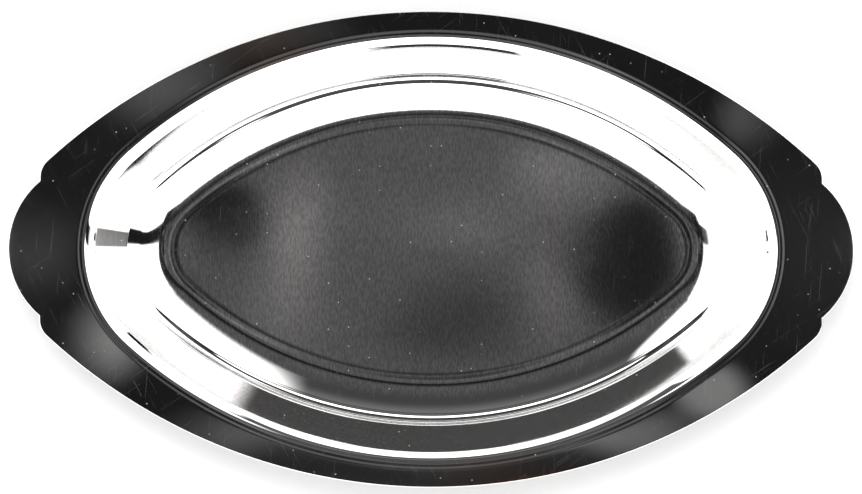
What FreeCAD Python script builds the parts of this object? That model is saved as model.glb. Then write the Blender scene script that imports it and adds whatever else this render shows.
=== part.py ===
import FreeCAD, Part

import math
import os
from collections import namedtuple

import Sketcher
from FreeCAD import Vector

# An oval serving tray pressed from one sheet of stainless steel.
# The flat rim is a pointed oval with a rounded hand grip at each end. Inside it the sheet
# bends down a steep wall, over a narrow ledge and a shallow hollow slope to the floor,
# whose centre panel stands a hair proud of the band that the tray rests on.
#
# +X runs along the length and +Z is up. The origin is at the centre of the tray, and z = 0
# is the surface that it rests on.
#
# The tray is the same on both sides of its two upright centre planes, so the quarter with
# x and y positive is modelled, and mirrored twice.

# Driving dimensions: lengths in millimetres, angles in degrees.
DIMENSIONS = {
    "sheet_thickness": 0.8,
    # The rim's outline, seen from above.
    "overall_length": 350.0,
    "overall_width": 197.0,
    "side_edge_radius": 234.4,
    "grip_radius": 36.5,
    "shoulder_distance": 162.0,
    "shoulder_radius": 9.0,
    "edge_rounding": 0.25,
    # The mouth of the well, where the flat rim starts to bend down: an oval of four arcs.
    "mouth_length": 287.8,
    "mouth_width": 176.8,
    "mouth_end_radius": 54.0,
    # The section through the wall. Its radii are those of the upper face, and an inset is
    # a distance inwards from the mouth.
    "depth": 25.0,
    "rim_bend_radius": 4.0,
    "wall_foot_radius": 1.2,
    "ledge_inset": 16.5,
    "ledge_length": 2.2,
    "ledge_angle": 5.0,
    "ledge_edge_radius": 1.0,
    "slope_angle": 26.0,
    "slope_end_inset": 33.6,
    "resting_band": 1.2,
    "panel_inset": 36.8,
    "panel_bend_radius": 40.0,
    # How far the swept wall runs into the flat rim and into the flat panel.
    "overlap": 2.0,
}

# Where the sketch solver starts from. It finds the true values from the depth and insets.
WALL_ANGLE_GUESS = math.radians(60.0)
WALL_LENGTH_GUESS = 19.6
SLOPE_RADIUS_GUESS = 35.0
PANEL_TURN_GUESS = math.radians(1.4)

# How a sketch numbers a geometry's own points, and its two axes.
START, END, CENTRE = 1, 2, 3
X_AXIS, Y_AXIS = -1, -2
ORIGIN = (X_AXIS, START)
UP = Vector(0, 0, 1)

# One line or arc of the wall's section, and which of its end points face out and in.
Stretch = namedtuple("Stretch", "geometry outer inner")


def size(name):
    return DIMENSIONS[name]


def angle(name):
    return math.radians(DIMENSIONS[name])


def make_sheet(doc):
    """The spreadsheet: each row holds a dimension's name and the number it stands for."""
    sheet = doc.addObject("Spreadsheet::Sheet", "sizes")
    for row, (name, value) in enumerate(DIMENSIONS.items(), start=1):
        sheet.set(f"A{row}", name)
        sheet.set(f"B{row}", str(value))
        sheet.setAlias(f"B{row}", name)
    doc.recompute()
    return sheet


def origin_plane(body, role):
    return next(feature for feature in body.Origin.OriginFeatures if feature.Role == role)


def make_sketch(body, name, role):
    sketch = body.newObject("Sketcher::SketchObject", name)
    sketch.AttachmentSupport = [(origin_plane(body, role), "")]
    sketch.MapMode = "FlatFace"
    return sketch


def raise_sketch(sketch, expression):
    """Lift a sketch off its plane by a height from the spreadsheet."""
    sketch.setExpression("AttachmentOffset.Base.z", expression)


def join(sketch, kind, *places):
    sketch.addConstraint(Sketcher.Constraint(kind, *places))


def drive(sketch, name, expression, *constraint):
    """Add a dimension that takes its value from the spreadsheet."""
    index = sketch.addConstraint(Sketcher.Constraint(*constraint))
    sketch.renameConstraint(index, name)
    sketch.setExpression(f"Constraints.{name}", expression)


def line(sketch, start, end):
    return sketch.addGeometry(Part.LineSegment(start, end))


def arc(sketch, centre, radius, start_angle, end_angle):
    circle = Part.Circle(centre, UP, radius)
    return sketch.addGeometry(Part.ArcOfCircle(circle, start_angle, end_angle))


def mouth_arcs():
    """Centres, radii and shared angle of the mouth's end arc and side arc."""
    half_length = size("mouth_length") / 2
    half_width = size("mouth_width") / 2
    end_radius = size("mouth_end_radius")
    end_centre = half_length - end_radius
    side_radius = (end_centre**2 + half_width**2 - end_radius**2) / (2 * (half_width - end_radius))
    side_centre = half_width - side_radius
    return end_centre, side_centre, side_radius, math.atan2(-side_centre, end_centre)


def draw_quarter_oval(sketch, inset, inset_expression):
    """A quarter of the oval that lies an inset inside the mouth.

    Returns the end arc, which starts on the X axis, and the side arc, which ends on the Y axis.
    """
    end_centre, side_centre, side_radius, turn = mouth_arcs()
    end_radius = size("mouth_end_radius") - inset
    end_arc = arc(sketch, Vector(end_centre, 0), end_radius, 0, turn)
    side_arc = arc(sketch, Vector(0, side_centre), side_radius - inset, turn, math.pi / 2)
    join(sketch, "Tangent", end_arc, END, side_arc, START)
    join(sketch, "PointOnObject", end_arc, START, X_AXIS)
    join(sketch, "PointOnObject", end_arc, CENTRE, X_AXIS)
    join(sketch, "PointOnObject", side_arc, END, Y_AXIS)
    join(sketch, "PointOnObject", side_arc, CENTRE, Y_AXIS)
    drive(sketch, "oval_end_radius", f"sizes.mouth_end_radius - ({inset_expression})",
          "Radius", end_arc, end_radius)
    drive(sketch, "oval_half_length", f"sizes.mouth_length / 2 - ({inset_expression})",
          "DistanceX", *ORIGIN, end_arc, START, size("mouth_length") / 2 - inset)
    drive(sketch, "oval_half_width", f"sizes.mouth_width / 2 - ({inset_expression})",
          "DistanceY", *ORIGIN, side_arc, END, size("mouth_width") / 2 - inset)
    return end_arc, side_arc


def draw_quarter_outline(sketch):
    """The rim's outer edge: the grip's arc, the short straight shoulder in the notch beside it,
    the shoulder's rounded corner and the long side arc. Returns the grip arc and the side arc."""
    grip_radius = size("grip_radius")
    grip_centre = size("overall_length") / 2 - grip_radius
    shoulder = size("shoulder_distance")
    notch_height = math.sqrt(grip_radius**2 - (shoulder - grip_centre) ** 2)
    side_radius = size("side_edge_radius")
    side_centre = size("overall_width") / 2 - side_radius
    corner_radius = size("shoulder_radius")
    corner_x = shoulder - corner_radius
    corner_rise = math.sqrt((side_radius - corner_radius) ** 2 - corner_x**2)
    corner_y = side_centre + corner_rise
    turn = math.atan2(corner_rise, corner_x)

    grip = arc(sketch, Vector(grip_centre, 0), grip_radius, 0,
               math.atan2(notch_height, shoulder - grip_centre))
    straight = line(sketch, Vector(shoulder, notch_height), Vector(shoulder, corner_y))
    corner = arc(sketch, Vector(corner_x, corner_y), corner_radius, 0, turn)
    side = arc(sketch, Vector(0, side_centre), side_radius, turn, math.pi / 2)

    join(sketch, "Coincident", grip, END, straight, START)
    join(sketch, "Vertical", straight)
    join(sketch, "Tangent", straight, END, corner, START)
    join(sketch, "Tangent", corner, END, side, START)
    join(sketch, "PointOnObject", grip, START, X_AXIS)
    join(sketch, "PointOnObject", grip, CENTRE, X_AXIS)
    join(sketch, "PointOnObject", side, END, Y_AXIS)
    join(sketch, "PointOnObject", side, CENTRE, Y_AXIS)
    drive(sketch, "grip_radius", "sizes.grip_radius", "Radius", grip, grip_radius)
    drive(sketch, "corner_radius", "sizes.shoulder_radius", "Radius", corner, corner_radius)
    drive(sketch, "side_radius", "sizes.side_edge_radius", "Radius", side, side_radius)
    drive(sketch, "half_length", "sizes.overall_length / 2", "DistanceX", *ORIGIN, grip, START,
          size("overall_length") / 2)
    drive(sketch, "half_width", "sizes.overall_width / 2", "DistanceY", *ORIGIN, side, END,
          size("overall_width") / 2)
    drive(sketch, "shoulder", "sizes.shoulder_distance", "DistanceX", *ORIGIN, straight, START,
          shoulder)
    return grip, side


def connect(sketch, first, second):
    """Draw a straight line between two points that the sketch already has."""
    bridge = line(sketch, sketch.getPoint(*first), sketch.getPoint(*second))
    join(sketch, "Coincident", bridge, START, *first)
    join(sketch, "Coincident", bridge, END, *second)


def section_moves():
    """The section from the rim inwards: each stretch's name, its length or its radius on the
    upper face, and the angle it turns through, positive to the left of the way inwards."""
    ledge_angle = angle("ledge_angle")
    slope_angle = angle("slope_angle")
    return [
        ("rim", size("overlap"), 0),
        ("rim_bend", size("rim_bend_radius"), WALL_ANGLE_GUESS),
        ("wall", WALL_LENGTH_GUESS, 0),
        ("wall_foot", size("wall_foot_radius"), ledge_angle - WALL_ANGLE_GUESS),
        ("ledge", size("ledge_length"), 0),
        ("ledge_edge", size("ledge_edge_radius"), slope_angle - ledge_angle),
        ("slope", SLOPE_RADIUS_GUESS, -slope_angle),
        ("band", size("resting_band"), 0),
        ("panel_rise", size("panel_bend_radius"), -PANEL_TURN_GUESS),
        ("panel_crest", size("panel_bend_radius"), PANEL_TURN_GUESS),
        ("panel", size("overlap"), 0),
    ]


def draw_face(sketch, below):
    """Draw the chain of tangent lines and arcs that lies this far below the upper face."""
    here = Vector(size("mouth_length") / 2 + size("overlap"), size("depth") - below)
    heading = math.pi
    stretches = {}
    last = None
    for name, extent, turn in section_moves():
        if turn == 0:
            there = here + Vector(math.cos(heading), math.sin(heading)) * extent
            stretch = Stretch(line(sketch, here, there), START, END)
        else:
            side = math.copysign(1, turn)
            radius = extent - side * below
            centre = here + Vector(-math.sin(heading), math.cos(heading)) * side * radius
            first = heading - side * math.pi / 2
            there = centre + Vector(math.cos(first + turn), math.sin(first + turn)) * radius
            geometry = arc(sketch, centre, radius, *sorted((first, first + turn)))
            ends = (START, END) if turn > 0 else (END, START)
            stretch = Stretch(geometry, *ends)
        if last:
            join(sketch, "Tangent", last.geometry, last.inner, stretch.geometry, stretch.outer)
        stretches[name] = last = stretch
        here = there
        heading += turn
    return stretches


def keep_parallel(sketch, upper, lower):
    """Keep the two faces a sheet's thickness apart: their arcs share centres, and an arc that
    follows straight on from another takes its lower radius from the tangency."""
    thickness = size("sheet_thickness")
    follows_arc = False
    for name, extent, turn in section_moves():
        if turn == 0:
            follows_arc = False
            continue
        above = upper[name].geometry
        beneath = lower[name].geometry
        join(sketch, "Coincident", above, CENTRE, beneath, CENTRE)
        radius_name = "panel_bend_radius" if name.startswith("panel") else f"{name}_radius"
        if name != "slope":
            drive(sketch, f"upper_{name}", f"sizes.{radius_name}", "Radius", above, extent)
        if not follows_arc:
            sign = "-" if turn > 0 else "+"
            drive(sketch, f"lower_{name}", f"sizes.{radius_name} {sign} sizes.sheet_thickness",
                  "Radius", beneath, extent - math.copysign(thickness, turn))
        follows_arc = True


def place_face(sketch, upper):
    """Fix the upper face: where its stretches start, how long they are and how far they turn."""
    for name in ("rim", "band", "panel"):
        join(sketch, "Horizontal", upper[name].geometry)

    mouth = size("mouth_length") / 2
    for name, inset_name in (
        ("ledge", "ledge_inset"),
        ("band", "slope_end_inset"),
        ("panel", "panel_inset"),
    ):
        drive(sketch, f"{name}_start", f"sizes.mouth_length / 2 - sizes.{inset_name}",
              "DistanceX", *ORIGIN, upper[name].geometry, upper[name].outer,
              mouth - size(inset_name))
    drive(sketch, "bend_start", "sizes.mouth_length / 2", "DistanceX", *ORIGIN,
          upper["rim"].geometry, upper["rim"].inner, mouth)

    for name, length_name in (
        ("rim", "overlap"),
        ("ledge", "ledge_length"),
        ("band", "resting_band"),
        ("panel", "overlap"),
    ):
        drive(sketch, f"{name}_length", f"sizes.{length_name}", "Distance",
              upper[name].geometry, size(length_name))

    drive(sketch, "ledge_turn", "sizes.slope_angle - sizes.ledge_angle", "Angle",
          upper["ledge_edge"].geometry, angle("slope_angle") - angle("ledge_angle"))
    drive(sketch, "slope_turn", "sizes.slope_angle", "Angle", upper["slope"].geometry,
          angle("slope_angle"))
    drive(sketch, "rim_height", "sizes.depth", "DistanceY", *ORIGIN,
          upper["rim"].geometry, upper["rim"].outer, size("depth"))
    drive(sketch, "band_height", "sizes.sheet_thickness", "DistanceY", *ORIGIN,
          upper["band"].geometry, upper["band"].outer, size("sheet_thickness"))


def close_section(sketch, upper, lower):
    """Close the section squarely, in the rim at one end and in the panel at the other."""
    rim_end = (upper["rim"].geometry, upper["rim"].outer)
    rim_end_beneath = (lower["rim"].geometry, lower["rim"].outer)
    panel_end = (upper["panel"].geometry, upper["panel"].inner)
    panel_end_beneath = (lower["panel"].geometry, lower["panel"].inner)
    for name, above, beneath in (
        ("rim", rim_end, rim_end_beneath),
        ("panel", panel_end, panel_end_beneath),
    ):
        join(sketch, "Horizontal", lower[name].geometry)
        join(sketch, "Vertical", *above, *beneath)
        connect(sketch, above, beneath)


def measure_panel(sketch, lower):
    """Read back the panel's height, which follows from the bends beside it."""
    panel = lower["panel"]
    index = sketch.addConstraint(
        Sketcher.Constraint("DistanceY", *ORIGIN, panel.geometry, panel.outer, 0.0)
    )
    sketch.setDriving(index, False)
    sketch.renameConstraint(index, "panel_height")


def draw_section(sketch):
    """The wall's section, at the mouth's end, in the plane of the length and the height."""
    upper = draw_face(sketch, below=0)
    lower = draw_face(sketch, below=size("sheet_thickness"))
    keep_parallel(sketch, upper, lower)
    place_face(sketch, upper)
    close_section(sketch, upper, lower)
    measure_panel(sketch, lower)


def swept_wall(body):
    path = make_sketch(body, "mouth_path", "XY_Plane")
    draw_quarter_oval(path, 0.0, "0")
    section = make_sketch(body, "wall_section", "XZ_Plane")
    draw_section(section)
    wall = body.newObject("PartDesign::AdditivePipe", "wall_sweep")
    wall.Profile = section
    wall.Spine = path


def flat_sheet(body, name, sketch):
    """A flat piece of the sheet, padded up from its underside."""
    pad = body.newObject("PartDesign::Pad", name)
    pad.Profile = sketch
    pad.setExpression("Length", "sizes.sheet_thickness")


def rim_plate(body):
    sketch = make_sketch(body, "rim_outline", "XY_Plane")
    raise_sketch(sketch, "sizes.depth - sizes.sheet_thickness")
    grip, side = draw_quarter_outline(sketch)
    inner_end, inner_side = draw_quarter_oval(sketch, -size("overlap") / 2, "-sizes.overlap / 2")
    connect(sketch, (inner_end, START), (grip, START))
    connect(sketch, (inner_side, END), (side, END))
    flat_sheet(body, "rim_plate", sketch)


def floor_panel(body):
    sketch = make_sketch(body, "panel_outline", "XY_Plane")
    raise_sketch(sketch, "wall_section.Constraints.panel_height")
    inset = size("panel_inset") + size("overlap") / 2
    end_arc, side_arc = draw_quarter_oval(sketch, inset, "sizes.panel_inset + sizes.overlap / 2")
    connect(sketch, ORIGIN, (end_arc, START))
    connect(sketch, ORIGIN, (side_arc, END))
    flat_sheet(body, "floor_panel", sketch)


def mirror(body, name, role):
    """Double the body across one of its origin planes."""
    mirrored = body.newObject("PartDesign::Mirrored", name)
    mirrored.TransformMode = "Whole shape"
    mirrored.MirrorPlane = (origin_plane(body, role), [""])
    body.Tip = mirrored
    body.Document.recompute()
    return mirrored


def outline_edges(shape):
    """Names of the edges round the outside of the rim's top and of its underside."""
    mouth_length = size("mouth_length")
    rim_faces = [
        face
        for face in shape.Faces
        if isinstance(face.Surface, Part.Plane) and face.BoundBox.XLength > mouth_length
    ]
    outline = [edge for face in rim_faces for edge in face.OuterWire.Edges]
    return [
        f"Edge{number}"
        for number, edge in enumerate(shape.Edges, start=1)
        if any(edge.isSame(outer) for outer in outline)
    ]


def round_edge(body, base):
    """Take the sharpness off the sheet's cut edge."""
    fillet = body.newObject("PartDesign::Fillet", "edge_rounding")
    fillet.Base = (base, outline_edges(base.Shape))
    fillet.setExpression("Radius", "sizes.edge_rounding")
    body.Tip = fillet


def make_tray(doc):
    """The whole pressing: wall, rim and floor of one quarter, mirrored, with its edge rounded."""
    body = doc.addObject("PartDesign::Body", "tray")
    body.Label = "pressed_tray"
    swept_wall(body)
    rim_plate(body)
    floor_panel(body)
    doc.recompute()
    mirror(body, "half_tray", "XZ_Plane")
    whole_tray = mirror(body, "whole_tray", "YZ_Plane")
    round_edge(body, whole_tray)
    doc.recompute()
    return body


def check(doc, parts):
    """Stop if any feature failed, or if a part isn't one sound solid."""
    for feature in doc.Objects:
        if {"Invalid", "Error"} & set(feature.State):
            raise RuntimeError(f"{feature.Label} failed: {feature.State}")
    for part in parts:
        if part.Shape.isNull() or not part.Shape.isValid() or len(part.Shape.Solids) != 1:
            raise RuntimeError(f"{part.Label} isn't one valid solid")


document = FreeCAD.newDocument("serving_tray")
make_sheet(document)
pieces = [make_tray(document)]
check(document, pieces)
os.makedirs("parts", exist_ok=True)
for piece in pieces:
    piece.Shape.exportStep(f"parts/{piece.Label}.step")
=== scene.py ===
import math

import bpy
import numpy as np
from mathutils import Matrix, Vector, noise


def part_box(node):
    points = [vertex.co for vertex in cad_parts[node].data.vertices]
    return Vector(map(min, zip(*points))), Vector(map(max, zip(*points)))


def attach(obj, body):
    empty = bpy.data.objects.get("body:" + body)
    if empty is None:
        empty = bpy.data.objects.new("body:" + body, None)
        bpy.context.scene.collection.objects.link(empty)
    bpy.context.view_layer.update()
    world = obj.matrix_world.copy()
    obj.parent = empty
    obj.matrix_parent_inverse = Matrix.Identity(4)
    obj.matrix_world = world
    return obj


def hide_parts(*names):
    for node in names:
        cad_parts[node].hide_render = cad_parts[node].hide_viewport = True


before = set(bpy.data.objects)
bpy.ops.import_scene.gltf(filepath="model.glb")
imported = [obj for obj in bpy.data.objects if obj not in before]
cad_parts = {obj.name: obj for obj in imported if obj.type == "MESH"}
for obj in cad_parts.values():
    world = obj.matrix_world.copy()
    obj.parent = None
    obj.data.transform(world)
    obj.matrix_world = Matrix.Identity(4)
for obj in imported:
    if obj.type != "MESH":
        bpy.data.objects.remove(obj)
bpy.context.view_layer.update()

# The tray, in metres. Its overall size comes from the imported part; the rest are the
# pressing's own sizes. An inset is a distance inwards from the mouth of the well. The rim
# bend, ledge and lines are fitted guesses, finer than any view of the real tray supports.
NODE = "pressed_tray"
LOW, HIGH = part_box(NODE)
HALF_LENGTH = HIGH.x
HALF_WIDTH = HIGH.y
RIM_TOP = HIGH.z
SHEET = 0.0008

SIDE_EDGE_RADIUS = 0.2344
GRIP_RADIUS = 0.0365
SHOULDER = 0.162
SHOULDER_RADIUS = 0.009
EDGE_ROUNDING = 0.00018
EDGE_SUPPORT = 0.00006

MOUTH_HALF_LENGTH = 0.1439
MOUTH_HALF_WIDTH = 0.0884
MOUTH_END_RADIUS = 0.054

TIGHT_BEND_RADIUS = 0.0026
EASY_BEND_RADIUS = 0.029
LAST_BEND_RADIUS = 0.004
EASY_BEND_START = math.radians(44)
EASY_BEND_END = math.radians(51.6)
WALL_FOOT_RADIUS = 0.0012
CREASED_WALL = 0.0033
LEDGE_INSET = 0.0165
LEDGE_LENGTH = 0.0022
LEDGE_ANGLE = math.radians(5)
LEDGE_EDGE_RADIUS = 0.001
SLOPE_ANGLE = math.radians(26)
SLOPE_END_INSET = 0.0336
BAND = 0.0012
PANEL_INSET = 0.0368
PANEL_BEND_RADIUS = 0.1

# Fine pressed lines that only the visual model has: the wall's crease, the ledge's bead, the
# floor's line and the rim's groove. Each has the inset of its crest, its width outwards and
# inwards of that, and how far it stands up.
LINES = [
    (0.0144, 0.0005, 0.0007, 0.00014),
    (0.01803, 0.00115, 0.0008, 0.00024),
    (0.0344, 0.0013, 0.0013, -0.000008),
    (-0.0016, 0.0010, 0.0010, -0.000010),
]
LINE_STEP = 0.0004
RIM_LINE_REACH = 0.0036

# The rim's inner edge rolls gently down towards the mouth, and the wall takes it up again.
ROLL_DROP = 0.00004
ROLL_TAKEN_UP = 0.008

# The ledge dies out towards the two ends: between these insets the visual model is filled
# straight across there, more and more between these steepnesses of a station's ray.
LEDGE_FILL = (0.0155, 0.0203)
LEDGE_FADE = (0.45, 0.85)

# A slight, slow unevenness over the whole sheet: its wavelength and its height.
WAVE_LENGTH = 0.045
WAVE_HEIGHT = 0.00006

# Where the floor's fine grain begins, and how gradually.
GRAIN_FROM = 0.0235
GRAIN_BLEND = 0.004

# The rings that fill the middle of the floor's upper face, and of the underside.
FLOOR_RINGS = 16
UNDER_RINGS = 8
CENTRE_SHARE = 0.03

PLAIN_WHITE = 1.75
TABLE_REACH = 30.0
KEY_SIZE = 0.5
KEY_POWER = 5.0
KEY_PLACE = (-0.1, 0.6, 1.5)
CAMERA_LENS = 90.8
CAMERA_PLACE = (0.0, 0.00104, 0.925)
CAMERA_TURN = math.radians(0.2)
NEAREST_SEEN = 0.01


# ---------------------------------------------------------------- geometry

def rim_bend(wall_angle):
    """The bend from the rim into the wall: each arc's radius, and where it starts and ends."""
    return [
        (TIGHT_BEND_RADIUS, 0.0, EASY_BEND_START),
        (EASY_BEND_RADIUS, EASY_BEND_START, EASY_BEND_END),
        (LAST_BEND_RADIUS, EASY_BEND_END, wall_angle),
    ]


def wall_sizes(wall_angle):
    """The wall's length and its drop from the rim to the start of the ledge."""
    arcs = rim_bend(wall_angle) + [(-WALL_FOOT_RADIUS, wall_angle, LEDGE_ANGLE)]
    run = LEDGE_INSET
    drop = 0.0
    for radius, start, end in arcs:
        run -= radius * (math.sin(end) - math.sin(start))
        drop += radius * (math.cos(start) - math.cos(end))
    length = run / math.cos(wall_angle)
    return length, drop + length * math.sin(wall_angle)


def section_moves():
    """The upper face from the mouth inwards: length or radius, turn, and how many pieces."""
    edge_run = LEDGE_EDGE_RADIUS * (math.sin(SLOPE_ANGLE) - math.sin(LEDGE_ANGLE))
    ledge_run = LEDGE_LENGTH * math.cos(LEDGE_ANGLE)
    slope_run = SLOPE_END_INSET - LEDGE_INSET - ledge_run - edge_run
    slope_radius = slope_run / math.sin(SLOPE_ANGLE)
    lower_drop = LEDGE_LENGTH * math.sin(LEDGE_ANGLE)
    lower_drop += LEDGE_EDGE_RADIUS * (math.cos(LEDGE_ANGLE) - math.cos(SLOPE_ANGLE))
    lower_drop += slope_radius * (1 - math.cos(SLOPE_ANGLE))
    wanted = RIM_TOP - SHEET - lower_drop

    shallow, steep = math.radians(45), math.radians(75)
    while steep - shallow > 1e-9:
        middle = (shallow + steep) / 2
        if wall_sizes(middle)[1] < wanted:
            shallow = middle
        else:
            steep = middle
    wall_angle = shallow
    wall_length = wall_sizes(wall_angle)[0]
    panel_turn = math.asin((PANEL_INSET - SLOPE_END_INSET - BAND) / 2 / PANEL_BEND_RADIUS)
    bend = [(radius, end - start, 8) for radius, start, end in rim_bend(wall_angle)]
    return bend + [
        (wall_length - CREASED_WALL, 0, 6),
        (CREASED_WALL, 0, 20),
        (WALL_FOOT_RADIUS, LEDGE_ANGLE - wall_angle, 12),
        (LEDGE_LENGTH, 0, 10),
        (LEDGE_EDGE_RADIUS, SLOPE_ANGLE - LEDGE_ANGLE, 8),
        (slope_radius, -SLOPE_ANGLE, 26),
        (BAND, 0, 5),
        (PANEL_BEND_RADIUS, -panel_turn, 4),
        (PANEL_BEND_RADIUS, panel_turn, 4),
    ]


def section(below, coarseness):
    """Points (inset, height) of the face this far below the upper face, from the mouth in."""
    inset, height, heading = 0.0, RIM_TOP - below, 0.0
    points = [(inset, height)]
    for extent, turn, pieces in section_moves():
        pieces = max(1, round(pieces / coarseness))
        if turn == 0:
            for _ in range(pieces):
                inset += extent / pieces * math.cos(heading)
                height -= extent / pieces * math.sin(heading)
                points.append((inset, height))
            continue
        side = math.copysign(1, turn)
        radius = extent - side * below
        for _ in range(pieces):
            after = heading + turn / pieces
            inset += side * radius * (math.sin(after) - math.sin(heading))
            height -= side * radius * (math.cos(heading) - math.cos(after))
            heading = after
            points.append((inset, height))
    return np.array(points)


def oval_arcs():
    """The mouth's end-arc centre, side-arc centre and radius, and the direction they meet at."""
    end_centre = MOUTH_HALF_LENGTH - MOUTH_END_RADIUS
    spare = MOUTH_HALF_WIDTH - MOUTH_END_RADIUS
    side_radius = (end_centre**2 + MOUTH_HALF_WIDTH**2 - MOUTH_END_RADIUS**2) / (2 * spare)
    side_centre = MOUTH_HALF_WIDTH - side_radius
    return end_centre, side_centre, side_radius, math.atan2(-side_centre, end_centre)


def reach_circle(start, direction, centre, radius):
    """How far a ray from inside a circle goes before it meets the circle."""
    gap = start - centre
    along = gap @ direction
    return -along + math.sqrt(along**2 - gap @ gap + radius**2)


def quarter_stations():
    """The stations round the first quarter, from the X axis to the Y axis.

    Each one is the centre its ray leaves from, the ray's direction, the mouth's radius there
    and the distance to the rim's outline.
    """
    end_centre, side_centre, side_radius, meeting = oval_arcs()
    grip_centre = HALF_LENGTH - GRIP_RADIUS
    outline_centre = HALF_WIDTH - SIDE_EDGE_RADIUS
    notch = math.sqrt(GRIP_RADIUS**2 - (SHOULDER - grip_centre) ** 2)
    corner_x = SHOULDER - SHOULDER_RADIUS
    corner_reach = SIDE_EDGE_RADIUS - SHOULDER_RADIUS
    corner_y = outline_centre + math.sqrt(corner_reach**2 - corner_x**2)
    tangent = SIDE_EDGE_RADIUS / corner_reach
    tangent_x = corner_x * tangent
    tangent_y = outline_centre + (corner_y - outline_centre) * tangent

    def seen_from_end(x, y):
        return math.atan2(y, x - end_centre)

    def to_grip(start, ray):
        return reach_circle(start, ray, np.array((grip_centre, 0.0)), GRIP_RADIUS)

    def to_shoulder(start, ray):
        return (SHOULDER - start[0]) / ray[0]

    def to_corner(start, ray):
        return reach_circle(start, ray, np.array((corner_x, corner_y)), SHOULDER_RADIUS)

    def to_side(start, ray):
        return reach_circle(start, ray, np.array((0.0, outline_centre)), SIDE_EDGE_RADIUS)

    notch_turn = seen_from_end(SHOULDER, notch)
    corner_turn = seen_from_end(SHOULDER, corner_y)
    side_turn = seen_from_end(tangent_x, tangent_y)
    stretches = [
        (0.0, notch_turn, 30, to_grip),
        (notch_turn, corner_turn, 3, to_shoulder),
        (corner_turn, side_turn, 12, to_corner),
        (side_turn, meeting, 21, to_side),
        (meeting, math.pi / 2, 44, to_side),
    ]
    stations = []
    for first, last, count, reach in stretches:
        for turn in np.linspace(first, last, count, endpoint=False):
            on_end = turn < meeting
            start = np.array((end_centre, 0.0) if on_end else (0.0, side_centre))
            ray = np.array((math.cos(turn), math.sin(turn)))
            mouth = MOUTH_END_RADIUS if on_end else side_radius
            stations.append((start, ray, mouth, reach(start, ray)))
    top = np.array((0.0, 1.0))
    stations.append((np.array((0.0, side_centre)), top, side_radius, HALF_WIDTH - side_centre))
    return stations


def all_stations():
    """The quarter's stations turned into the whole ring, counter-clockwise from +X."""
    quarter = quarter_stations()
    ring = []
    for x_sign, y_sign, order in ((1, 1, 1), (-1, 1, -1), (-1, -1, 1), (1, -1, -1)):
        sign = np.array((x_sign, y_sign))
        for start, ray, mouth, edge in quarter[::order][:-1]:
            ring.append((start * sign, ray * sign, mouth, edge))
    starts = np.array([station[0] for station in ring])
    rays = np.array([station[1] for station in ring])
    mouths = np.array([station[2] for station in ring])[:, None]
    edges = np.array([station[3] for station in ring])[:, None]
    return starts, rays, mouths, edges


def fine_height(inset):
    """How far the pressed lines and the rim's roll lift the sheet at an inset."""
    height = 0.0
    for crest, outwards, inwards, rise in LINES:
        away = abs(inset - crest) / (inwards if inset > crest else outwards)
        if away < 1:
            height += rise * (1 + math.cos(math.pi * away)) / 2
    reach = ROLL_TAKEN_UP if inset > 0 else RIM_LINE_REACH
    left = max(0.0, 1 - abs(inset) / reach)
    return height - ROLL_DROP * left**2


def tray_rings():
    """Closed rings of points, from the middle of the floor's upper face out over the rim's
    edge and back to the middle of the underside."""
    starts, rays, mouths, edges = all_stations()
    at_end = np.clip((abs(rays[:, 0]) - LEDGE_FADE[0]) / (LEDGE_FADE[1] - LEDGE_FADE[0]), 0, 1)

    def at(reach, height, fill=0.0):
        plan = starts + rays * reach
        return np.column_stack((plan, height + fill * at_end))

    def panel(inset, height, shares):
        border = at(mouths - inset, height)
        return [border * (share, share, 1) for share in shares]

    def across(inner, outer, height, pieces):
        return [at(inner + (outer - inner) * i / pieces, height) for i in range(pieces)]

    upper = section(0.0, 1)[::-1]
    insets, heights = upper.T
    kept = (insets <= LEDGE_FILL[0]) | (insets >= LEDGE_FILL[1])
    fills = np.interp(-insets, -insets[kept], heights[kept]) - heights
    lower = section(SHEET, 4)
    rings = panel(*upper[0], np.linspace(CENTRE_SHARE, 1, FLOOR_RINGS, endpoint=False))
    for (inset, height), fill in zip(upper, fills):
        fine = fine_height(inset)
        rings.append(at(mouths - inset, height + fine, fill - max(0.0, fine)))
    steps = np.arange(LINE_STEP, RIM_LINE_REACH, LINE_STEP)
    rings += [at(mouths + outset, RIM_TOP + fine_height(-outset)) for outset in steps]
    border = edges - EDGE_ROUNDING
    rings += across(mouths + RIM_LINE_REACH, border - EDGE_SUPPORT, RIM_TOP, 10)
    rings += across(border - EDGE_SUPPORT, border, RIM_TOP, 1)
    for middle, quarter in ((RIM_TOP - EDGE_ROUNDING, 1), (RIM_TOP - SHEET + EDGE_ROUNDING, 0)):
        for turn in np.linspace(quarter, quarter - 1, 5) * math.pi / 2:
            outwards = EDGE_ROUNDING * (math.cos(turn) - 1)
            rings.append(at(edges + outwards, middle + EDGE_ROUNDING * math.sin(turn)))
    rings += across(border - EDGE_SUPPORT, mouths, RIM_TOP - SHEET, 7)
    rings += [at(mouths - inset, height) for inset, height in lower]
    rings += panel(*lower[-1], np.linspace(1, CENTRE_SHARE, UNDER_RINGS + 1)[1:])
    for ring in rings:
        for point in ring:
            point[2] += WAVE_HEIGHT * noise.noise(Vector((point[0], point[1], 0)) / WAVE_LENGTH)
    return rings


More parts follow.
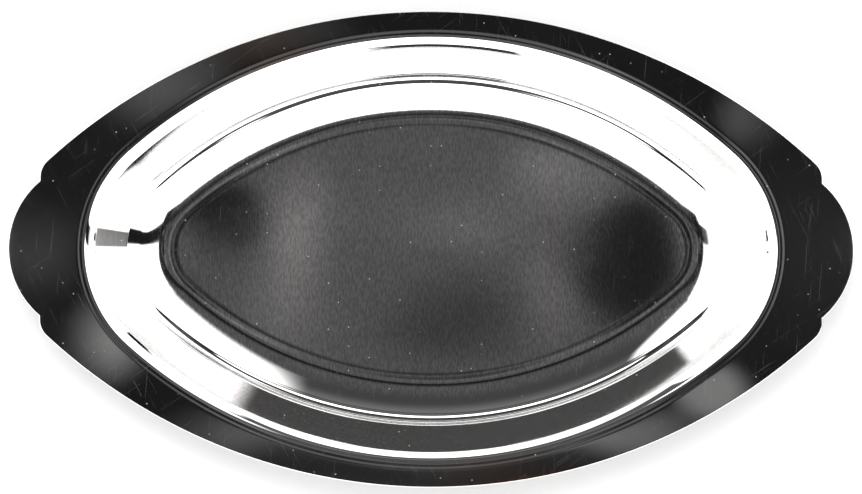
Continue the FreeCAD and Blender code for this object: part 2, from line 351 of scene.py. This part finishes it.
def skin(name, rings):
    """A closed mesh over the rings, with one point in the middle of each end."""
    around = len(rings[0])
    points = np.concatenate(rings)
    middles = np.array([(0, 0, rings[0][0, 2]), (0, 0, rings[-1][0, 2])])
    points = np.concatenate((points, middles))
    first_middle = len(points) - 2
    last_middle = len(points) - 1
    faces = []
    for ring in range(len(rings) - 1):
        for i in range(around):
            j = (i + 1) % around
            here, beyond = ring * around, (ring + 1) * around
            faces.append((here + i, beyond + i, beyond + j, here + j))
    last = (len(rings) - 1) * around
    for i in range(around):
        j = (i + 1) % around
        faces.append((first_middle, i, j))
        faces.append((last_middle, last + j, last + i))
    mesh = bpy.data.meshes.new(name)
    mesh.from_pydata(points.tolist(), [], faces)
    mesh.validate()
    mesh.polygons.foreach_set("use_smooth", np.ones(len(mesh.polygons), bool))
    return mesh


# ---------------------------------------------------------------- shader arithmetic

class Field:
    """A number worked out by shader nodes at every point, used in ordinary arithmetic."""

    def __init__(self, tree, socket):
        self.tree = tree
        self.socket = socket

    def maths(self, operation, *others):
        node = self.tree.nodes.new("ShaderNodeMath")
        node.operation = operation
        for slot, value in zip(node.inputs, (self, *others)):
            plug(self.tree, slot, value)
        return Field(self.tree, node.outputs[0])

    def __add__(self, other):
        return self.maths("ADD", other)

    def __sub__(self, other):
        return self.maths("SUBTRACT", other)

    def __mul__(self, other):
        return self.maths("MULTIPLY", other)

    def __truediv__(self, other):
        return self.maths("DIVIDE", other)

    def at_least(self, other):
        return self.maths("MAXIMUM", other)

    def flipped(self):
        """1 where this is 0, and 0 where this is 1."""
        return self * -1.0 + 1.0

    def step(self, start, end, low=0.0, high=1.0):
        """A smooth change from low to high while this goes from start to end."""
        node = self.tree.nodes.new("ShaderNodeMapRange")
        node.interpolation_type = "SMOOTHSTEP"
        for slot, value in zip(node.inputs, (self, start, end, low, high)):
            plug(self.tree, slot, value)
        return Field(self.tree, node.outputs[0])


def plug(tree, slot, value):
    """Join a field or a socket to an input, or set the input to a plain value."""
    if isinstance(value, Field):
        value = value.socket
    if isinstance(value, bpy.types.NodeSocket):
        tree.links.new(value, slot)
    else:
        slot.default_value = value


def node(tree, kind, inputs=(), **settings):
    """A shader node with its settings, and its inputs given by name."""
    made = tree.nodes.new("ShaderNode" + kind)
    for name, value in settings.items():
        setattr(made, name, value)
    for name, value in dict(inputs).items():
        plug(tree, made.inputs[name], value)
    return made


def split(tree, vector):
    """A vector's three numbers as fields."""
    parts = node(tree, "SeparateXYZ", {"Vector": vector})
    return [Field(tree, output) for output in parts.outputs]


def spot(across, along, patch):
    """1 in the middle of a soft-edged ellipse, and 0 outside it."""
    middle_across, middle_along, reach_across, reach_along, softness = patch
    sideways = (across - middle_across) / reach_across
    upwards = (along - middle_along) / reach_along
    away = (sideways * sideways + upwards * upwards).maths("SQRT")
    return away.step(1.0, 1.0 - softness)


def mix_colours(tree, share, first, second):
    """The first colour turning into the second as the share goes from 0 to 1."""
    mix = node(tree, "Mix", data_type="RGBA")
    plug(tree, mix.inputs[0], share)
    plug(tree, mix.inputs[6], first)
    plug(tree, mix.inputs[7], second)
    return mix.outputs[2]


def new_tree(holder):
    holder.use_nodes = True
    holder.node_tree.nodes.clear()
    return holder.node_tree


# ---------------------------------------------------------------- surroundings

# The steel mirrors a bright white studio with one dark opening overhead, which runs off
# towards +Y. The opening and its patches are set for the view from straight above. A
# direction is told by its angle from straight up, in degrees, split into a part towards +X
# and a part towards +Y.
STUDIO_WHITE = 5.0
OPENING_DARK = 0.02

# Soft patches inside the opening, each with its middle, its reach, its softness and how much
# it adds: the ones the floor mirrors first, then the ones the rim and its ends mirror.
PATCHES = [
    ((0.0, 0.0, 7.8, 5.0, 0.22), 0.17),
    ((-3.5, 0.5, 1.3, 2.6, 1.0), 0.30),
    ((-3.9, -1.7, 1.6, 2.2, 1.0), 0.12),
    ((0.8, 0.6, 3.2, 1.1, 1.0), 0.10),
    ((3.4, 2.0, 1.9, 1.5, 1.0), 0.20),
    ((3.3, -1.1, 0.9, 1.9, 1.0), 0.17),
    ((0.6, -1.9, 3.0, 1.7, 0.9), -0.11),
    ((-5.45, 0.85, 1.2, 1.3, 0.45), -0.8),
    ((5.25, -0.4, 1.55, 1.95, 0.35), -0.8),
    ((7.1, 0.2, 0.8, 2.4, 0.8), 0.22),
    ((-7.0, -0.2, 0.8, 1.8, 0.8), 0.12),
    ((-7.2, 4.4, 2.6, 1.7, 1.0), 0.14),
    ((-4.4, 5.6, 3.0, 1.2, 1.0), 0.07),
    ((-10.3, -0.2, 2.2, 1.8, 1.0), 0.06),
    ((-8.3, -2.5, 1.5, 1.5, 1.0), 0.38),
    ((-19.0, -5.5, 8.0, 4.5, 0.4), 0.2),
    ((7.3, -3.8, 1.5, 0.9, 0.6), 0.36),
    ((4.8, -4.8, 3.2, 0.8, 1.0), 0.28),
    ((-4.9, -4.8, 2.6, 0.8, 1.0), 0.16),
    ((0.0, -5.4, 6.0, 0.6, 1.0), 0.09),
    ((8.3, 3.6, 1.2, 1.6, 1.0), 0.12),
    ((9.8, 0.0, 3.0, 4.0, 1.0), 0.02),
]


def opening_shape(across, along):
    """1 in the dark opening and 0 in the white round it."""
    near_edge = along.step(-13.4, -11.8)
    far_edge = along.step(103.0, 97.0)
    left = (along - 18.0).at_least(0.0) * -0.35 + along.step(50.0, 62.0, -12.2, -28.0)
    left_edge = (across - left).step(-1.2, 1.2)
    right = (along - 26.0).at_least(0.0) * 0.3 + along.step(48.0, 62.0, 12.8, 22.0)
    softness = along.step(5.0, 14.0, 1.5, 6.5)
    right_edge = ((across - right) / softness).step(0.0, -1.0)
    return near_edge * far_edge * left_edge * right_edge


def arm_shape(across, along):
    """1 along two dark arms that reach out of the opening to either side."""
    widening = (across - 30.0).at_least(0.0) * 0.15
    thickness = (along + widening).step(-9.2, -8.0) * along.step(-1.0, -2.7)
    right_arm = across.step(8.0, 10.0) * across.step(120.0, 80.0)
    left_arm = across.step(-8.0, -10.0) * across.step(-24.0, -17.0)
    return thickness * right_arm.at_least(left_arm)


def opening_tone(across, along):
    """How bright the inside of the opening is."""
    beyond = along.step(6.3, 10.0, 0.0, 0.17) - along.step(12.0, 30.0, 0.0, 0.08)
    beyond = beyond + along.step(33.0, 52.0, 0.0, 0.24) - along.step(56.0, 68.0, 0.0, 0.15)
    near = along.step(-4.5, -12.5, 0.0, 0.2) * across.maths("ABSOLUTE").step(9.0, 5.0)
    tone = beyond + near + OPENING_DARK
    for patch, gain in PATCHES:
        tone = tone + spot(across, along, patch) * gain
    return tone.at_least(OPENING_DARK)


def make_world():
    """Only reflections see the opening: the camera and the table see plain white."""
    world = bpy.data.worlds.new("studio")
    tree = new_tree(world)
    x, y, z = split(tree, node(tree, "TexCoord").outputs["Generated"])
    spread = (z + 1.0).at_least(0.05) * math.radians(0.5)
    across = x / spread
    along = y / spread
    dark = opening_shape(across, along).at_least(arm_shape(across, along))
    mirrored = dark * opening_tone(across, along) + dark.flipped() * STUDIO_WHITE
    glossy = Field(tree, node(tree, "LightPath").outputs["Is Glossy Ray"])
    seen = glossy * mirrored + glossy.flipped() * PLAIN_WHITE
    background = node(tree, "Background", {"Strength": seen})
    node(tree, "OutputWorld", {"Surface": background.outputs[0]})
    bpy.context.scene.world = world


# ---------------------------------------------------------------- materials

STEEL_COLOUR = (0.60, 0.597, 0.592, 1)
# The rosy and warm colours are painted reflection tints: coloured reflections painted into the
# steel's base colour.
ROSY_REFLECTION_COLOUR = (0.64, 0.575, 0.58, 1)
WARM_REFLECTION_COLOUR = (0.66, 0.53, 0.48, 1)
GRAIN_COLOUR = (0.40, 0.398, 0.394, 1)
DUST_COLOUR = (0.75, 0.75, 0.73, 1)
PAPER_COLOUR = (0.82, 0.82, 0.82, 1)
ROSY_REFLECTION_SHARE = 0.7

# Painted reflection tints on the sheet, rosy on the floor and warm on the rim, and a worn area, in
# metres: middle, reach and softness, as for a patch.
ROSY_REFLECTION_LEFT = (-0.056, 0.0, 0.018, 0.09, 1.0)
ROSY_REFLECTION_RIGHT = (0.053, -0.004, 0.011, 0.09, 1.0)
WARM_REFLECTION_FAR = (-0.070, 0.083, 0.034, 0.016, 1.0)
WARM_REFLECTION_NEAR = (0.035, -0.094, 0.05, 0.012, 1.0)
WORN = (0.018, 0.012, 0.026, 0.024, 0.8)

# How rough the metal is, and how much of it is hazy: everywhere, and more where it is
# smeared, grained or scratched.
SMOOTH_ROUGHNESS = 0.025
SMEAR_ROUGHNESS = 0.015
FLOOR_ROUGHNESS = 0.03
HAZE_ROUGHNESS = 0.6
SMEAR_HAZE = 0.001
FLOOR_HAZE = 0.0005
GRAIN_HAZE = 0.002
SCRATCH_HAZE = 0.045
GRAIN_BUMP = 0.03
GRAIN_DEPTH = 0.00002

# Cells of noise to the metre across and along the grain, the smears and the scratches.
GRAIN_CELLS = (1500.0, 400.0)
SMEAR_CELLS = (26.0, 34.0)
SCRATCH_CELLS = (2600.0, 55.0, 300.0)
DUST_CELLS = 230.0
DUST_SHARE = 0.4

# Scratches at an angle in degrees, and the noise above which one shows: over the whole tray,
# and more of them in the worn area.
SCRATCHES = [(4, 0.79), (-28, 0.79), (55, 0.80)]
WORN_SCRATCHES = [(12, 0.70), (-34, 0.71)]
SCRATCH_EDGE = 0.03


def steel():
    material = bpy.data.materials.new("stainless_steel")
    tree = new_tree(material)
    place = node(tree, "TexCoord").outputs["Object"]
    x, y, z = split(tree, place)
    grained = Field(tree, node(tree, "Attribute", attribute_name="grained").outputs["Fac"])

    def pattern(across, along, detail=2.0):
        """Noise with so many cells to the metre along X and along Y."""
        scale = node(tree, "VectorMath", operation="MULTIPLY")
        plug(tree, scale.inputs[0], place)
        plug(tree, scale.inputs[1], (across, along, (across + along) / 2))
        made = node(tree, "TexNoise", {"Vector": scale.outputs[0], "Scale": 1.0, "Detail": detail})
        return Field(tree, made.outputs["Fac"])

    grain = pattern(*GRAIN_CELLS).step(0.3, 0.7)
    smears = pattern(*SMEAR_CELLS, detail=4.0).step(0.42, 0.68)

    def scratches(angle, lowest):
        turn = {"Vector": place, "Angle": math.radians(angle)}
        turned = node(tree, "VectorRotate", turn, rotation_type="Z_AXIS")
        scale = node(tree, "VectorMath", operation="MULTIPLY")
        plug(tree, scale.inputs[0], turned.outputs[0])
        plug(tree, scale.inputs[1], SCRATCH_CELLS)
        made = node(tree, "TexNoise", {"Vector": scale.outputs[0], "Scale": 1.0, "Detail": 0.0})
        return Field(tree, made.outputs["Fac"]).step(lowest, lowest + SCRATCH_EDGE)

    def all_scratches(kinds):
        first, *others = [scratches(angle, lowest) for angle, lowest in kinds]
        for other in others:
            first = first.at_least(other)
        return first

    worn = spot(x, y, WORN)
    marks = all_scratches(SCRATCHES).at_least(all_scratches(WORN_SCRATCHES) * worn)

    cells = node(tree, "TexVoronoi", {"Vector": place, "Scale": DUST_CELLS}, voronoi_dimensions="2D")
    size = Field(tree, cells.outputs["Distance"])
    lot = Field(tree, node(tree, "SeparateColor", {"Color": cells.outputs["Color"]}).outputs[0])
    dust = size.step(0.10, 0.02) * lot.step(0.91, 1.0)

    # Painted reflection tints: rosy on the floor and warm on the rim, mixed into the base colour.
    rosy_reflection = spot(x, y, ROSY_REFLECTION_LEFT).at_least(spot(x, y, ROSY_REFLECTION_RIGHT))
    warm_reflection = spot(x, y, WARM_REFLECTION_FAR).at_least(spot(x, y, WARM_REFLECTION_NEAR))
    colour = mix_colours(tree, rosy_reflection * grained * ROSY_REFLECTION_SHARE, STEEL_COLOUR, ROSY_REFLECTION_COLOUR)
    colour = mix_colours(tree, warm_reflection * grained.flipped(), colour, WARM_REFLECTION_COLOUR)
    shaded = mix_colours(tree, grain * grained, colour, GRAIN_COLOUR)

    bump = node(tree, "Bump", {
        "Strength": grained * GRAIN_BUMP,
        "Distance": GRAIN_DEPTH,
        "Height": grain,
    })
    metal = node(tree, "BsdfPrincipled", {
        "Base Color": shaded,
        "Metallic": 1.0,
        "Roughness": grained * FLOOR_ROUGHNESS + smears * SMEAR_ROUGHNESS + SMOOTH_ROUGHNESS,
        "Normal": bump.outputs[0],
    })
    haze = node(tree, "BsdfPrincipled", {
        "Base Color": colour,
        "Metallic": 1.0,
        "Roughness": HAZE_ROUGHNESS,
    })
    floor_haze = grained * (grain * GRAIN_HAZE + FLOOR_HAZE)
    share = floor_haze + smears * SMEAR_HAZE + marks * SCRATCH_HAZE
    hazy = node(tree, "MixShader", {"Fac": share})
    plug(tree, hazy.inputs[1], metal.outputs[0])
    plug(tree, hazy.inputs[2], haze.outputs[0])
    speck = node(tree, "BsdfDiffuse", {"Color": DUST_COLOUR})
    dusty = node(tree, "MixShader", {"Fac": dust * DUST_SHARE})
    plug(tree, dusty.inputs[1], hazy.outputs[0])
    plug(tree, dusty.inputs[2], speck.outputs[0])
    node(tree, "OutputMaterial", {"Surface": dusty.outputs[0]})
    return material


def white_paper():
    material = bpy.data.materials.new("white_paper")
    tree = new_tree(material)
    paper = node(tree, "BsdfDiffuse", {"Color": PAPER_COLOUR})
    node(tree, "OutputMaterial", {"Surface": paper.outputs[0]})
    return material


# ---------------------------------------------------------------- scene

def place(name, data):
    made = bpy.data.objects.new(name, data)
    bpy.context.scene.collection.objects.link(made)
    return made


def make_tray():
    rings = tray_rings()
    mesh = skin("tray_sheet", rings)
    mesh.materials.append(steel())
    around = len(rings[0])
    insets = section(0.0, 1)[::-1, 0]
    shares = np.clip((insets - GRAIN_FROM) / GRAIN_BLEND, 0.0, 1.0)
    grained = np.zeros(len(mesh.vertices))
    grained[: FLOOR_RINGS * around] = 1.0
    on_section = slice(FLOOR_RINGS * around, (FLOOR_RINGS + len(insets)) * around)
    grained[on_section] = np.repeat(shares, around)
    floor_middle = -2
    grained[floor_middle] = 1.0
    mesh.attributes.new("grained", "FLOAT", "POINT").data.foreach_set("value", grained)
    tray = place("tray_sheet", mesh)
    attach(tray, "root")
    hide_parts(NODE)


def make_table():
    reach = TABLE_REACH
    mesh = bpy.data.meshes.new("table")
    corners = [(-reach, -reach, 0), (reach, -reach, 0), (reach, reach, 0), (-reach, reach, 0)]
    mesh.from_pydata(corners, [], [(0, 1, 2, 3)])
    mesh.materials.append(white_paper())
    table = place("table", mesh)
    table.location.z = -WAVE_HEIGHT


def make_key_light():
    lamp = bpy.data.lights.new("soft_key", "AREA")
    lamp.size = KEY_SIZE
    lamp.energy = KEY_POWER
    key = place("soft_key", lamp)
    key.location = KEY_PLACE
    key.rotation_euler = (-key.location).to_track_quat("-Z", "Y").to_euler()
    key.visible_glossy = False
    key.visible_camera = False


def make_camera():
    data = bpy.data.cameras.new("camera")
    data.lens = CAMERA_LENS
    data.clip_start = NEAREST_SEEN
    camera = place("camera", data)
    camera.location = CAMERA_PLACE
    camera.rotation_euler = (0.0, 0.0, CAMERA_TURN)
    bpy.context.scene.camera = camera


make_world()
make_tray()
make_table()
make_key_light()
make_camera()
bpy.context.scene.view_settings.view_transform = "Standard"
